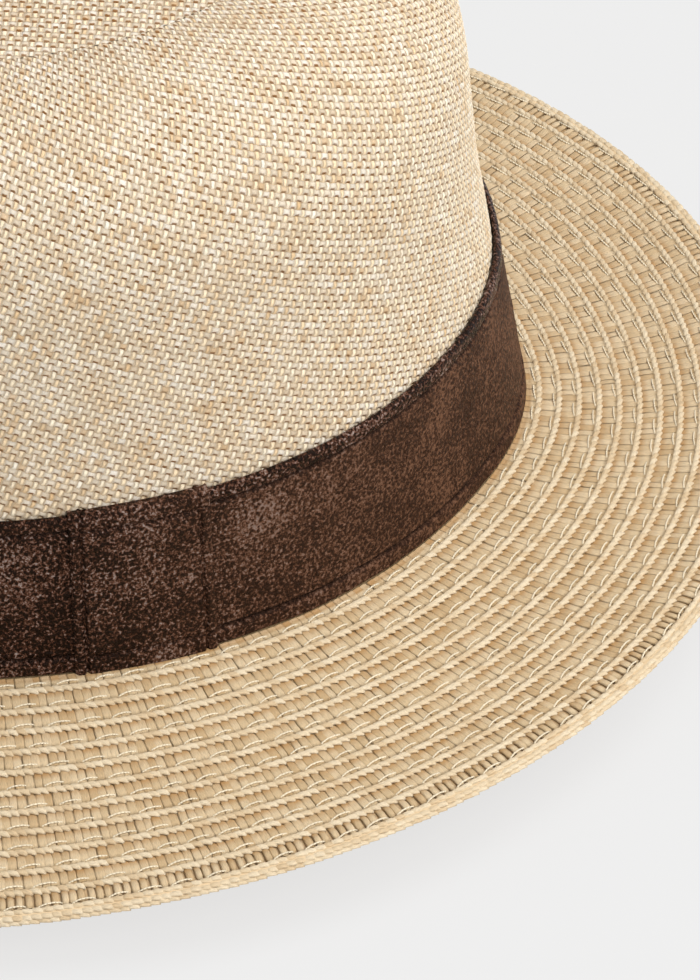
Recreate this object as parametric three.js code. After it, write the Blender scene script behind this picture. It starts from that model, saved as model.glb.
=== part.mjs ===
// A panama hat with a woven crown, a sewn braid brim and a leather band, in millimetres.
// +Z is up, -Y is the front and +X is the wearer's left. The origin is the middle of the head
// opening, level with the fold between the crown and the brim.
import * as THREE from 'three';

// Oval of the head: the outside of the band's lower edge
const HALF_LENGTH = 105;
const HALF_WIDTH = 89;
const WALL_LEAN = 0.086; // the wall leans in by this much for each millimetre of height
const FOLD_WAVE = 1.2; // the fold is this much higher at the sides, and lower at front and back
// The wall's foot flares out at the back by the reach, which dies out up the wall and either way
const BACK_FLARE = { reach: 4, spread: 19, height: 54 }; // the spread is in degrees

// Layers of the wall, as offsets from that oval
const BAND_LAYER = { inner: -1.2, outer: 0 };
const KEEPER_LAYER = { inner: 0.3, outer: 1.3 };
const CROWN_OFFSET = -1.5;
const CROWN_THICKNESS = 1.2;
const COLLAR_LAYER = { inner: -4.4, outer: -3.0 };
const TAPE_LAYER = { inner: -5.1, outer: -4.7 };
const SWEATBAND_LAYER = { inner: -6.2, outer: -5.4 };
const REED_LAYER = { inner: -6.8, outer: -4.8 };
const LABEL_LAYER = { inner: -7.0, outer: -6.5 };

// Heights on the wall
const BAND_HEIGHT = { low: 0.9, high: 35.9 };
const KEEPER_HEIGHT = { low: 0, high: 36.9 };
const KEEPER_LIP = 0.55;
const COLLAR_HEIGHT = { low: -1.2, high: 9 };
const TAPE_HEIGHT = { low: 0, high: 11 };
const SWEATBAND_HEIGHT = { low: -1, high: 32 };
const REED_HEIGHT = { low: -3, high: -1.3 };
const LABEL_HEIGHT = { low: 8, high: 22 };

// Crown
const CROWN_FOOT = 0.6;
const CROWN_STRAIGHT = 76; // the wall is straight up to here
const CROWN_TOP = 113; // height where the shoulder meets the flat top
const CROWN_INSET = 38; // how far in from the wall that is
const TOP_RISE = 2.5; // the top bulges by this much before it is creased
const DENT = { depth: 19, front: -66, back: 54, frontHalfWidth: 15, backHalfWidth: 29 };
const PINCH = { depth: 10, turn: 34, height: 94, width: 19, tall: 25 };

// Brim
const BRIM_WIDTH = 52;
const BRAID_PITCH = 4.28; // from one row's rib to the next
const BRAID_ROWS = 11;
const OUTER_RIB = 6.5; // the outermost rib, measured in from the brim's edge
const RIB_LIFT = 0.5;
const ROW_FOOT = { run: 0.9, lift: -0.35 }; // the step down outside each rib
const BRAID_UNDERSIDE = -1.4;
const BRAID_EDGE = 48.1; // where the last flat row meets the folded edge
const EDGE_FOLD = { middle: 50.2, lift: -0.5, reach: 1.75, rise: 1.3, wall: 0.7 };
const WIRE_RADIUS = 0.4;

// Slope of the brim in degrees, up being positive: at the fold, and what it gains by the edge.
// Each has a mean, a share that grows towards the back and a share for the sides.
const SLOPE_AT_FOLD = { mean: -20.5, back: 9.1, sides: 2 };
const SLOPE_GAIN = { mean: 4.9, back: 13.3, sides: -1.6 };

// Where the strips lie, as degrees round the oval: 0 is the wearer's left and 90 is the back
const KEEPER_TURN = { middle: 23.2, half: 7.6 };
const LABEL_TURN = { middle: 90, half: 7 };
const STRIP_GAP = 0.2; // half the gap where a strip's two ends meet

const TURN_STEPS = 60;
const CROWN_STEPS = 18;
const SIDE_SHARE = 0.66; // share of the crown's steps that lies below its flat top

const PAPER = { color: 0xd9c6a0, roughness: 0.85, metalness: 0 };
const BRAID = { color: 0xd6c091, roughness: 0.8, metalness: 0 };
const LEATHER = { color: 0x35241c, roughness: 0.45, metalness: 0 };
const RIBBON = { color: 0xc9b48c, roughness: 0.9, metalness: 0 };
const PLASTIC = { color: 0xe6e2d8, roughness: 0.4, metalness: 0 };

const radians = THREE.MathUtils.degToRad;

// A point level with the fold, this far outside the oval.
function ovalPoint(turn, offset) {
  const outward = new THREE.Vector3(HALF_LENGTH * Math.cos(turn), HALF_WIDTH * Math.sin(turn), 0);
  const point = new THREE.Vector3(HALF_WIDTH * Math.cos(turn), HALF_LENGTH * Math.sin(turn), 0);
  return point.addScaledVector(outward.normalize(), offset);
}

// The fold's rise and fall round the hat.
function foldHeight(turn) {
  return FOLD_WAVE * Math.cos(2 * turn);
}

// How far the wall flares out at the back.
function backFlare(turn, height) {
  const away = Math.atan2(-Math.cos(turn), Math.sin(turn)) / radians(BACK_FLARE.spread);
  const fade = Math.max(0, 1 - height / BACK_FLARE.height);
  return BACK_FLARE.reach * Math.exp(-away * away) * fade;
}

// A point of the leaning wall that stays level all the way round.
function levelPoint(turn, offset, height) {
  const point = ovalPoint(turn, offset - WALL_LEAN * height + backFlare(turn, height));
  point.z = height;
  return point;
}

// A point of the leaning wall that follows the fold's rise and fall.
function wallPoint(turn, offset, height) {
  const point = levelPoint(turn, offset, height);
  point.z += foldHeight(turn) * (1 - height / CROWN_TOP);
  return point;
}

// The brim's slope at the fold and what it gains by the edge. The front is softened, so that
// it dips less than the back rises.
function brimSlope(turn) {
  const lengthwise = Math.sin(turn);
  const back = lengthwise > 0 ? lengthwise : lengthwise / (1 - 2 * lengthwise);
  const sides = Math.cos(2 * turn);
  return {
    start: radians(SLOPE_AT_FOLD.mean + SLOPE_AT_FOLD.back * back + SLOPE_AT_FOLD.sides * sides),
    gain: radians(SLOPE_GAIN.mean + SLOPE_GAIN.back * back + SLOPE_GAIN.sides * sides),
  };
}

// A point this far out along the curved brim, and this far above its middle surface.
function brimPoint(turn, distance, lift) {
  const slope = brimSlope(turn);
  const halfBend = (slope.gain * distance) / BRIM_WIDTH / 2;
  const chord = distance * (halfBend === 0 ? 1 : Math.sin(halfBend) / halfBend);
  const chordSlope = slope.start + halfBend;
  const tilt = slope.start + 2 * halfBend;
  const flare = backFlare(turn, 0) * (1 - distance / BRIM_WIDTH);
  const reach = chord * Math.cos(chordSlope) - lift * Math.sin(tilt) + flare;
  const point = ovalPoint(turn, reach);
  point.z = foldHeight(turn) + chord * Math.sin(chordSlope) + lift * Math.cos(tilt);
  return point;
}

// Side view of the crown: x is the inset from the wall's foot and y the height.
const crownSide = new THREE.Path();
crownSide.moveTo(WALL_LEAN * CROWN_FOOT, CROWN_FOOT);
crownSide.lineTo(WALL_LEAN * CROWN_STRAIGHT, CROWN_STRAIGHT);
crownSide.bezierCurveTo(
  WALL_LEAN * CROWN_STRAIGHT + 2.2,
  CROWN_STRAIGHT + 22,
  CROWN_INSET - 18,
  CROWN_TOP - 1.5,
  CROWN_INSET,
  CROWN_TOP,
);

// How deep the teardrop dent in the top is, at a place seen from above.
function dentDepth(x, y) {
  const along = (y - DENT.front) / (DENT.back - DENT.front);
  const halfWidth = THREE.MathUtils.lerp(DENT.frontHalfWidth, DENT.backHalfWidth, along);
  const across = Math.min(1, Math.abs(x / halfWidth));
  const fadeIn = THREE.MathUtils.smoothstep(along, 0, 0.35);
  const fadeOut = 1 - THREE.MathUtils.smoothstep(along, 0.7, 1);
  return (DENT.depth * fadeIn * fadeOut * (1 + Math.cos(Math.PI * across))) / 2;
}

// How far the two finger pinches push the front of the crown in.
function pinchDepth(turn, height) {
  let depth = 0;
  for (const side of [-1, 1]) {
    const centre = radians(-90 + side * PINCH.turn);
    const away = Math.atan2(Math.sin(turn - centre), Math.cos(turn - centre));
    const across = (away * HALF_LENGTH) / PINCH.width;
    const above = (height - PINCH.height) / PINCH.tall;
    depth += PINCH.depth * Math.exp(-across * across - above * above);
  }
  return depth;
}

// A point of the crown's outside. along runs from 0 at the foot to 1 in the middle of the top.
function crownOutside(turn, along) {
  const side = crownSide.getPoint(Math.min(1, along / SIDE_SHARE));
  const spread = Math.min(1, (1 - along) / (1 - SIDE_SHARE));
  const flare = backFlare(turn, side.y);
  const inset = side.x + pinchDepth(turn, side.y) - flare - CROWN_OFFSET;
  const x = (HALF_WIDTH - inset) * spread * Math.cos(turn);
  const y = (HALF_LENGTH - inset) * spread * Math.sin(turn);
  const rise = TOP_RISE * (1 - spread * spread);
  const wave = foldHeight(turn) * (1 - Math.min(1, side.y / CROWN_TOP));
  return new THREE.Vector3(x, y, side.y + rise + wave - dentDepth(x, y));
}

// The same place on the crown's inside, one cloth thickness in.
function crownInside(turn, along) {
  const point = crownOutside(turn, along);
  if (along === 1) {
    point.z -= CROWN_THICKNESS;
    return point;
  }
  const step = 0.001;
  const round = crownOutside(turn + step, along).sub(crownOutside(turn - step, along));
  const up = crownOutside(turn, along + step).sub(crownOutside(turn, Math.max(0, along - step)));
  const outward = round.cross(up).normalize();
  return point.addScaledVector(outward, -CROWN_THICKNESS);
}

// A ring or dome: a lathe whose profile points are each sent to their own place at every turn.
function lathed(places) {
  const profile = places.map((place, index) => new THREE.Vector2(1, index));
  const geometry = new THREE.LatheGeometry(profile, TURN_STEPS);
  const { position, uv } = geometry.attributes;
  for (let i = 0; i < position.count; i += 1) {
    const step = Math.round(uv.getX(i) * TURN_STEPS) % TURN_STEPS;
    const place = places[Math.round(uv.getY(i) * (places.length - 1))];
    const point = place((2 * Math.PI * step) / TURN_STEPS);
    position.setXYZ(i, point.x, point.y, point.z);
  }
  return geometry;
}

// A closed ring needs its first place again at the end.
function ring(places) {
  return lathed([...places, places[0]]);
}

// A section of offset and height, bent along the wall between two turns.
function strip(section, fromTurn, toTurn, steps, place) {
  const geometry = new THREE.ExtrudeGeometry(section, { depth: 1, steps, bevelEnabled: false });
  const { position } = geometry.attributes;
  for (let i = 0; i < position.count; i += 1) {
    const turn = THREE.MathUtils.lerp(toTurn, fromTurn, position.getZ(i));
    const point = place(turn, position.getX(i), position.getY(i));
    position.setXYZ(i, point.x, point.y, point.z);
  }
  return geometry;
}

function outline(corners) {
  return new THREE.Shape(corners.map(([x, y]) => new THREE.Vector2(x, y)));
}

function rectangle(layer, height) {
  return outline([
    [layer.inner, height.low],
    [layer.outer, height.low],
    [layer.outer, height.high],
    [layer.inner, height.high],
  ]);
}

// A strip once round the hat, whose ends meet at one turn.
function fullStrip(layer, height, seamTurn, place) {
  const gap = STRIP_GAP / HALF_LENGTH;
  const from = radians(seamTurn) + gap;
  const to = radians(seamTurn) + 2 * Math.PI - gap;
  return strip(rectangle(layer, height), from, to, TURN_STEPS, place);
}

// The crown's cloth: down its inside from the middle of the top, and back up its outside.
function crownShell() {
  const places = [];
  for (let i = CROWN_STEPS; i >= 0; i -= 1) {
    places.push((turn) => crownInside(turn, i / CROWN_STEPS));
  }
  for (let i = 0; i <= CROWN_STEPS; i += 1) {
    places.push((turn) => crownOutside(turn, i / CROWN_STEPS));
  }
  return lathed(places);
}

// The braid, sewn row on row from the collar inside the crown out to the folded edge. Each row
// lies on the next one out, so the top steps down outside each rib.
function brimBraid() {
  const places = [];
  const onBrim = (distance, lift) => places.push((turn) => brimPoint(turn, distance, lift));
  const onWall = (offset, height) => places.push((turn) => wallPoint(turn, offset, height));
  onBrim(BRAID_EDGE, BRAID_UNDERSIDE);
  onBrim(BRAID_EDGE, ROW_FOOT.lift);
  for (let row = 0; row < BRAID_ROWS; row += 1) {
    const rib = BRIM_WIDTH - OUTER_RIB - row * BRAID_PITCH;
    onBrim(rib + ROW_FOOT.run, ROW_FOOT.lift);
    onBrim(rib, RIB_LIFT);
  }
  onBrim(0, -0.4);
  onWall(COLLAR_LAYER.outer, 0);
  onWall(COLLAR_LAYER.outer, COLLAR_HEIGHT.high);
  onWall(COLLAR_LAYER.inner, COLLAR_HEIGHT.high);
  onWall(COLLAR_LAYER.inner, COLLAR_HEIGHT.low);
  const undersideSteps = 4;
  for (let i = 0; i < undersideSteps; i += 1) {
    onBrim((BRAID_EDGE * i) / undersideSteps, BRAID_UNDERSIDE);
  }
  return ring(places);
}

// The last row, folded in half over the wire: a thick-walled round, open towards the brim.
function brimEdgeFold() {
  const places = [];
  const arcSteps = 5;
  const openHalfAngle = 35;
  const arc = (step, reach, rise) => {
    const angle = radians(-180 + openHalfAngle + ((360 - 2 * openHalfAngle) * step) / arcSteps);
    const distance = EDGE_FOLD.middle + reach * Math.cos(angle);
    const lift = EDGE_FOLD.lift + rise * Math.sin(angle);
    places.push((turn) => brimPoint(turn, distance, lift));
  };
  for (let step = 0; step <= arcSteps; step += 1) {
    arc(step, EDGE_FOLD.reach, EDGE_FOLD.rise);
  }
  for (let step = arcSteps; step >= 0; step -= 1) {
    arc(step, EDGE_FOLD.reach - EDGE_FOLD.wall, EDGE_FOLD.rise - EDGE_FOLD.wall / 2);
  }
  return ring(places);
}

function brimEdgeWire() {
  const places = [];
  const sides = 5;
  for (let side = 0; side < sides; side += 1) {
    const angle = (2 * Math.PI * side) / sides;
    const distance = EDGE_FOLD.middle + WIRE_RADIUS * Math.cos(angle);
    const lift = EDGE_FOLD.lift + WIRE_RADIUS * Math.sin(angle);
    places.push((turn) => brimPoint(turn, distance, lift));
  }
  return ring(places);
}

// The keeper wraps the band's two ends and hooks over its upper and lower edges.
function bandKeeper() {
  const { low, high } = KEEPER_HEIGHT;
  const section = outline([
    [BAND_LAYER.inner, low],
    [KEEPER_LAYER.outer, low],
    [KEEPER_LAYER.outer, high],
    [BAND_LAYER.inner, high],
    [BAND_LAYER.inner, high - KEEPER_LIP],
    [KEEPER_LAYER.inner, high - KEEPER_LIP],
    [KEEPER_LAYER.inner, low + KEEPER_LIP],
    [BAND_LAYER.inner, low + KEEPER_LIP],
  ]);
  const from = radians(KEEPER_TURN.middle - KEEPER_TURN.half);
  const to = radians(KEEPER_TURN.middle + KEEPER_TURN.half);
  return strip(section, from, to, 6, wallPoint);
}

function sizeLabel() {
  const from = radians(LABEL_TURN.middle - LABEL_TURN.half);
  const to = radians(LABEL_TURN.middle + LABEL_TURN.half);
  return strip(rectangle(LABEL_LAYER, LABEL_HEIGHT), from, to, 4, levelPoint);
}

const group = new THREE.Group();

function add(name, geometry, finish) {
  const mesh = new THREE.Mesh(geometry, new THREE.MeshStandardMaterial(finish));
  mesh.name = name;
  group.add(mesh);
}

const backSeam = 90;
add('crown_shell', crownShell(), PAPER);
add('brim_braid', brimBraid(), BRAID);
add('brim_edge_fold', brimEdgeFold(), BRAID);
add('brim_edge_wire', brimEdgeWire(), PLASTIC);
add('hat_band', fullStrip(BAND_LAYER, BAND_HEIGHT, KEEPER_TURN.middle, wallPoint), LEATHER);
add('band_keeper', bandKeeper(), LEATHER);
add('seam_tape', fullStrip(TAPE_LAYER, TAPE_HEIGHT, backSeam, wallPoint), RIBBON);
add('sweatband', fullStrip(SWEATBAND_LAYER, SWEATBAND_HEIGHT, backSeam, levelPoint), RIBBON);
add('sweatband_reed', fullStrip(REED_LAYER, REED_HEIGHT, backSeam, levelPoint), PLASTIC);
add('size_label', sizeLabel(), RIBBON);

export default group;
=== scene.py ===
"""A panama hat around its CAD frame: woven crown, sewn braid brim, leather band and keeper."""

import math

import bpy
import numpy as np
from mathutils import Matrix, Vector, noise


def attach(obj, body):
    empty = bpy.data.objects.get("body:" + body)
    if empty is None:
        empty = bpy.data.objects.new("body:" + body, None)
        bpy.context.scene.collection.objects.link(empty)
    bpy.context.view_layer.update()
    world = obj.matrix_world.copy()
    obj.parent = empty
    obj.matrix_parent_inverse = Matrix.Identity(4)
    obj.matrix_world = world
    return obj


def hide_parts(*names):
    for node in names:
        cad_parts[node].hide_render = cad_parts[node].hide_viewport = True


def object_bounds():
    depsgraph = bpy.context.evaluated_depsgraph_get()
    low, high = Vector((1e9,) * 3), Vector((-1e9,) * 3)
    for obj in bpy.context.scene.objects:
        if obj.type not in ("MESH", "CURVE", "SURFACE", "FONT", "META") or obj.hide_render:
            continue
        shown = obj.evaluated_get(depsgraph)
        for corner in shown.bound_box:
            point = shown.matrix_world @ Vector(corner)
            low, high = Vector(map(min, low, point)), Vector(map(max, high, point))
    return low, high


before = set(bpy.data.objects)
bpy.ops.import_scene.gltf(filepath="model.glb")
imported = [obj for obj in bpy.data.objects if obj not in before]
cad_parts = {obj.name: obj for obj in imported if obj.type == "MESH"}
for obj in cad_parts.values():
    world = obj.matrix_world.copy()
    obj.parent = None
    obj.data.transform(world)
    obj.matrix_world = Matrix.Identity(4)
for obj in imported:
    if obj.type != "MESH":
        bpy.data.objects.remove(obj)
cad_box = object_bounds()
MM = 0.001  # sizes are in millimetres until a mesh is made
rng = np.random.default_rng(11)

# ---- the hat's shape, as in the CAD
# Angles round the hat are turns: 0 is the wearer's left and a quarter turn is the back.
HALF_WIDTH = 89.0  # of the head's oval, the outside of the band's lower edge
HALF_LENGTH = 105.0
LEAN = 0.086  # the wall leans in by this much for each millimetre of height
FOLD_WAVE = 1.2  # the fold is this much higher at the sides, and lower at front and back
BACK_FLARE = {"reach": 4, "spread": 19, "height": 54}  # of the wall's foot at the back
CROWN_TOP = 113.0  # height where the shoulder meets the flat top
CROWN_INSET = 38.0  # how far in from the wall that is
CROWN_STRAIGHT = 76.0  # the wall is straight up to here
SHOULDER = {"low": (2.2, 22.0), "high": (18.0, 1.5)}  # reach of the shoulder curve's handles
CROWN_OFFSET = -1.5  # of the cloth, from the oval
TOP_RISE = 2.5  # the top bulges so far before it is creased
DENT = {"depth": 19, "front": -66, "back": 54, "front_half": 15, "back_half": 29}
DENT_FADE = {"in": 0.35, "out": 0.7}  # shares of the dent's length
PINCH = {"depth": 10, "turn": 34, "height": 94, "width": 19, "tall": 25}
BRIM_WIDTH = 52.0
PITCH = 4.28  # from one braid row's rib to the next
ROWS = 11
OUTER_RIB = 6.5  # the outermost rib, measured in from the brim's edge
SLOPE_AT_FOLD = (-20.5, 9.1, 2.0)  # degrees: the mean, a share for the back, one for the sides
SLOPE_GAIN = (4.9, 13.3, -1.6)  # what the slope gains by the edge, in the same three shares
KEEPER = {"middle": 23.2, "half": 7.6}  # turns of the keeper, in degrees
BACK_SEAM = math.radians(90)  # where the strips inside meet
STRIP_GAP = 0.3 / HALF_LENGTH  # half the gap between a strip's two ends, as a turn

FINE_TURNS = np.linspace(0, 2 * np.pi, 2881)  # eight to the degree


def oval(turn, offset):
    """A point level with the fold, this far outside the oval of the head."""
    out_x, out_y = HALF_LENGTH * np.cos(turn), HALF_WIDTH * np.sin(turn)
    size = np.hypot(out_x, out_y)
    return (
        HALF_WIDTH * np.cos(turn) + out_x / size * offset,
        HALF_LENGTH * np.sin(turn) + out_y / size * offset,
    )


def fold_height(turn):
    """The fold's rise and fall round the hat."""
    return FOLD_WAVE * np.cos(2 * turn)


def back_flare(turn, height):
    """How far the wall flares out at the back."""
    away = np.arctan2(-np.cos(turn), np.sin(turn)) / math.radians(BACK_FLARE["spread"])
    fade = np.maximum(0, 1 - height / BACK_FLARE["height"])
    return BACK_FLARE["reach"] * np.exp(-away * away) * fade


def level(turn, offset, height):
    """A point of the leaning wall, at a height that stays level all the way round."""
    x, y = oval(turn, offset - LEAN * height + back_flare(turn, height))
    return np.stack(np.broadcast_arrays(x, y, height), -1)


def wall(turn, offset, height):
    """A point of the leaning wall that follows the fold's rise and fall."""
    point = level(turn, offset, height)
    point[..., 2] += fold_height(turn) * (1 - height / CROWN_TOP)
    return point


def brim(turn, distance, lift):
    """A point this far out along the curved brim, and this far above its middle surface."""
    back = np.sin(turn)
    back = np.where(back > 0, back, back / (1 - 2 * back))  # softer at the front
    sides = np.cos(2 * turn)
    slopes = (SLOPE_AT_FOLD, SLOPE_GAIN)
    start, gain = (np.radians(m + b * back + s * sides) for m, b, s in slopes)
    half_bend = gain * distance / BRIM_WIDTH / 2
    chord = distance * np.sinc(half_bend / np.pi)
    tilt = start + 2 * half_bend
    flare = back_flare(turn, 0) * (1 - distance / BRIM_WIDTH)
    x, y = oval(turn, chord * np.cos(start + half_bend) - lift * np.sin(tilt) + flare)
    z = fold_height(turn) + chord * np.sin(start + half_bend) + lift * np.cos(tilt)
    return np.stack(np.broadcast_arrays(x, y, z), -1)


def side_curve():
    """Side view of the crown from its foot up: distance along it, inset and height."""
    t = np.linspace(0, 1, 200)[:, None]
    (low_x, low_y), (high_x, high_y) = SHOULDER["low"], SHOULDER["high"]
    points = np.array([
        [LEAN * CROWN_STRAIGHT, CROWN_STRAIGHT],
        [LEAN * CROWN_STRAIGHT + low_x, CROWN_STRAIGHT + low_y],
        [CROWN_INSET - high_x, CROWN_TOP - high_y],
        [CROWN_INSET, CROWN_TOP],
    ])
    weights = [(1 - t) ** 3, 3 * t * (1 - t) ** 2, 3 * t * t * (1 - t), t ** 3]
    curve = sum(w * p for w, p in zip(weights, points))
    curve = np.concatenate([[[0.0, 0.0]], curve])
    run = np.concatenate([[0], np.cumsum(np.linalg.norm(np.diff(curve, axis=0), axis=1))])
    return run, curve[:, 0], curve[:, 1]


SIDE_RUN, SIDE_INSET, SIDE_HEIGHT = side_curve()
SIDE_LENGTH = SIDE_RUN[-1]
TOP_HALF_WIDTH = HALF_WIDTH + CROWN_OFFSET - CROWN_INSET
TOP_HALF_LENGTH = HALF_LENGTH + CROWN_OFFSET - CROWN_INSET


def smoothstep(x, low, high):
    """A smooth rise from 0 at low to 1 at high."""
    t = np.clip((x - low) / (high - low), 0, 1)
    return t * t * (3 - 2 * t)


def crown(turn, down):
    """A point of the crown's outside. down is the distance down the side from the flat top, and
    it goes from 0 to -1 between there and the middle of the top."""
    run = SIDE_LENGTH - np.clip(down, 0, SIDE_LENGTH)
    inset, height = (np.interp(run, SIDE_RUN, side) for side in (SIDE_INSET, SIDE_HEIGHT))
    spread = np.clip(1 + down, 0, 1)
    for side in (-1, 1):
        away = turn - math.radians(-90 + side * PINCH["turn"])
        away = np.arctan2(np.sin(away), np.cos(away)) * HALF_LENGTH / PINCH["width"]
        above = (height - PINCH["height"]) / PINCH["tall"]
        inset = inset + PINCH["depth"] * np.exp(-away * away - above * above)
    inset = inset - CROWN_OFFSET - back_flare(turn, height)
    x = (HALF_WIDTH - inset) * spread * np.cos(turn)
    y = (HALF_LENGTH - inset) * spread * np.sin(turn)
    along = (y - DENT["front"]) / (DENT["back"] - DENT["front"])
    half = DENT["front_half"] + (DENT["back_half"] - DENT["front_half"]) * along
    across = np.minimum(1, np.abs(x / half))
    fade = smoothstep(along, 0, DENT_FADE["in"]) * (1 - smoothstep(along, DENT_FADE["out"], 1))
    dent = DENT["depth"] * fade
    z = height + TOP_RISE * (1 - spread * spread) - dent * (1 + np.cos(np.pi * across)) / 2
    z = z + fold_height(turn) * (1 - np.minimum(1, height / CROWN_TOP))
    return np.stack(np.broadcast_arrays(x, y, z), -1)


# ---- meshes
def piece(name, points, quads, material, attributes, caps=()):
    """A mesh object from points in millimetres, an array of quads and any faces with more
    corners. An attribute has one value for each point, or one for each corner of each quad."""
    points = np.asarray(points, float).reshape(-1, 3) * MM
    quads = np.asarray(quads, np.int32).reshape(-1, 4)
    corners = np.concatenate([quads.ravel(), *caps]).astype(np.int32)
    sizes = np.array([4] * len(quads) + [len(cap) for cap in caps])
    mesh = bpy.data.meshes.new(name)
    mesh.vertices.add(len(points))
    mesh.vertices.foreach_set("co", points.astype(np.float32).ravel())
    mesh.loops.add(len(corners))
    mesh.loops.foreach_set("vertex_index", corners)
    mesh.polygons.add(len(sizes))
    mesh.polygons.foreach_set("loop_start", (np.cumsum(sizes) - sizes).astype(np.int32))
    mesh.update(calc_edges=True)
    mesh.validate()
    mesh.polygons.foreach_set("use_smooth", np.full(len(mesh.polygons), True))
    for key, values in attributes.items():
        values = np.asarray(values, np.float32)
        domain = "POINT" if len(values) == len(points) else "CORNER"
        kind, field = ("FLOAT", "value") if values.ndim == 1 else ("FLOAT_VECTOR", "vector")
        mesh.attributes.new(key, kind, domain).data.foreach_set(field, values.ravel())
    mesh.materials.append(material)
    made = bpy.data.objects.new(name, mesh)
    bpy.context.scene.collection.objects.link(made)
    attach(made, "root")
    return made


def grid_quads(rows, columns, wrap_rows=False, wrap_columns=False):
    """Quads of a grid of rows by columns. With its rows running round the hat from the wearer's
    left to the back, and its columns from low to high, they face outwards."""
    i = np.arange(rows if wrap_rows else rows - 1)[:, None]
    j = np.arange(columns if wrap_columns else columns - 1)[None]
    here, ahead = i * columns, (i + 1) % rows * columns
    above = (j + 1) % columns
    corners = np.broadcast_arrays(here + j, ahead + j, ahead + above, here + above)
    return np.stack(corners, -1).reshape(-1, 4)


def turns(count):
    """Turns spread evenly once round the hat."""
    return np.linspace(0, 2 * np.pi, count, endpoint=False)


def strip(name, outlines, material, attributes):
    """A closed strip: outlines holds its closed outline at every step along it. The outline runs
    up the outside and down the inside."""
    steps, count = outlines.shape[:2]
    quads = grid_quads(steps, count, wrap_columns=True)
    first = np.arange(count)
    last = first[::-1] + (steps - 1) * count
    return piece(name, outlines, quads, material, attributes, caps=(first, last))


def shell(name, outer, inner, material, attributes):
    """A closed plate between two grids of the same size, the outer one facing out."""
    rows, columns = outer.shape[:2]
    count = rows * columns
    front = grid_quads(rows, columns)
    row, column = np.arange(rows - 1) * columns, np.arange(columns - 1)
    low, high = row, row + columns - 1
    start, end = column, column + (rows - 1) * columns
    edges = [np.stack([a, a + count, b + count, b], -1) for a, b in (
        (low, low + columns), (high + columns, high), (start + 1, start), (end, end + 1))]
    quads = np.concatenate([front, front[:, ::-1] + count, *edges])
    points = np.concatenate([outer.reshape(-1, 3), inner.reshape(-1, 3)])
    return piece(name, points, quads, material, attributes)


# ---- strands, beads and stitches
SIDES = 6  # of a strand's section
HEXAGON = np.array([[0, 1, 2, 3], [0, 3, 4, 5]])  # its two quads
STRETCH = 0.06  # spread of the strands' lengths


def tube(path, wide, thick):
    """A strand's tube about its path of (along the row, out, up). Its section lies flat. Returns
    its points and quads, and for each point its step along and its lean to one side."""
    path = np.array(path, float)
    wide, thick = (np.broadcast_to(np.asarray(w, float), len(path)) for w in (wide, thick))
    ahead = np.gradient(path, axis=0)[:, :2]
    ahead /= np.linalg.norm(ahead, axis=1)[:, None]
    across = np.stack([ahead[:, 1], -ahead[:, 0], np.zeros(len(path))], -1)
    angle = 2 * np.pi * np.arange(SIDES) / SIDES
    spread = wide[:, None] * np.cos(angle)[None]
    points = path[:, None] + spread[..., None] * across[:, None]
    points[..., 2] += thick[:, None] * np.sin(angle)[None]
    body = grid_quads(len(path), SIDES, wrap_columns=True)[:, ::-1]
    caps = [*HEXAGON, *(HEXAGON[:, ::-1] + (len(path) - 1) * SIDES)]
    step = np.repeat(np.arange(len(path)) / (len(path) - 1), SIDES)
    lean = np.tile(np.cos(angle), len(path))
    return points.reshape(-1, 3), np.concatenate([body, caps]), step, lean


def along_row(surface, distance, pitch, phase):
    """Turns that space points evenly along a row, and the row's length for each turn there."""
    line = surface(FINE_TURNS, distance, 0.0)
    step = np.linalg.norm(np.diff(line, axis=0), axis=1)
    run = np.concatenate([[0], np.cumsum(step)])
    count = int(round(run[-1] / pitch))
    where = (np.arange(count) + phase) / count * run[-1]
    turn = np.interp(where, run, FINE_TURNS)
    between = (FINE_TURNS[1:] + FINE_TURNS[:-1]) / 2
    speed = np.interp(turn, between, step / np.diff(FINE_TURNS))
    return turn, speed


def repeat_along(name, surface, distance, shape, pitch, material, phase=0.0, jitter=0.1,
                 sink=0.05):
    """Copies of a tube side by side along a row, each a little out of line, in length and place,
    as hand-fed straw is. Each copy has a random tone."""
    local, quads, step, lean = shape
    turn, speed = along_row(surface, distance, pitch, phase)
    count = len(turn)
    turn = turn + rng.normal(0, jitter * pitch, count) / speed
    along, out, up = local.T
    stretch = 1 + rng.normal(0, STRETCH, (count, 1))
    at = turn[:, None] + along[None] * stretch / speed[:, None]
    rise = up[None] + rng.normal(0, sink, (count, 1))
    points = surface(at, distance + out[None] * np.ones_like(at), rise)
    first = np.arange(count) * len(local)
    all_quads = (quads[None] + first[:, None, None]).reshape(-1, 4)
    tone = np.repeat(rng.random(count), len(local))
    own = np.repeat(rng.random(count), len(local))
    fibre = np.stack([np.tile(lean, count), np.tile(step, count), own], -1)
    return piece(name, points, all_quads, material, {"tone": tone, "fibre": fibre})


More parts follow.
